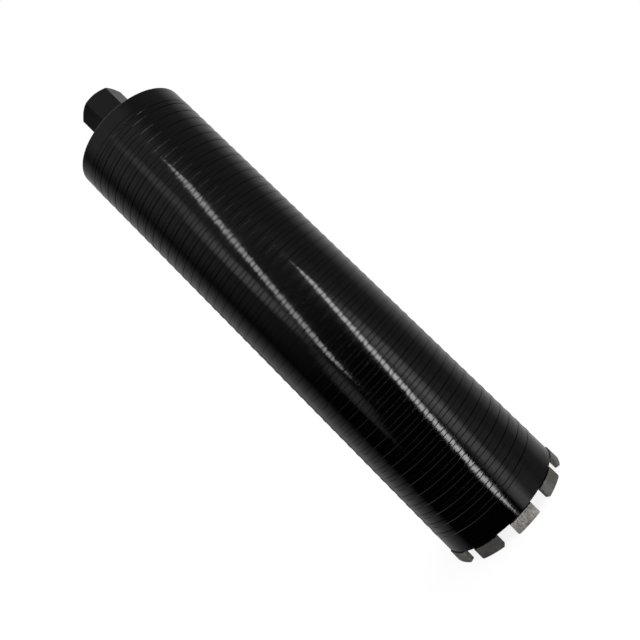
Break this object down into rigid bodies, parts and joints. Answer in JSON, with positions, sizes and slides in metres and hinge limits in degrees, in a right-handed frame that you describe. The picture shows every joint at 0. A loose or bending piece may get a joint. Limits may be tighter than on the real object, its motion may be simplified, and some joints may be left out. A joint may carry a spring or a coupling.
{
  "type": "diamond core bit",
  "caption": "Wet core bit: a thin black steel barrel with a raised helical rib, a crown of sintered diamond segments and a threaded hexagon hub.",
  "frame": {"origin": "centre of the plane of the segment tips, on the barrel's axis", "axes": "+Z along the barrel's axis from the crown to the hub; -Y through the middle of segment_01"},
  "size_m": [0.1212, 0.122, 0.53],
  "materials": {
    "black_paint": "gloss",
    "segment_metal": "matte",
    "weld": "satin",
    "bare_steel": "machined"
  },
  "bodies": {
    "root": {"barrel": "black_paint", "back_plate": "black_paint", "plate_weld": "weld", "hub": "black_paint", "hub_weld": "weld", "segment_01": "segment_metal", "segment_02": "segment_metal", "segment_03": "segment_metal", "segment_04": "segment_metal", "segment_05": "segment_metal", "segment_06": "segment_metal", "segment_07": "segment_metal", "segment_08": "segment_metal", "segment_09": "segment_metal", "segment_10": "segment_metal"}
  },
  "joints": []
}
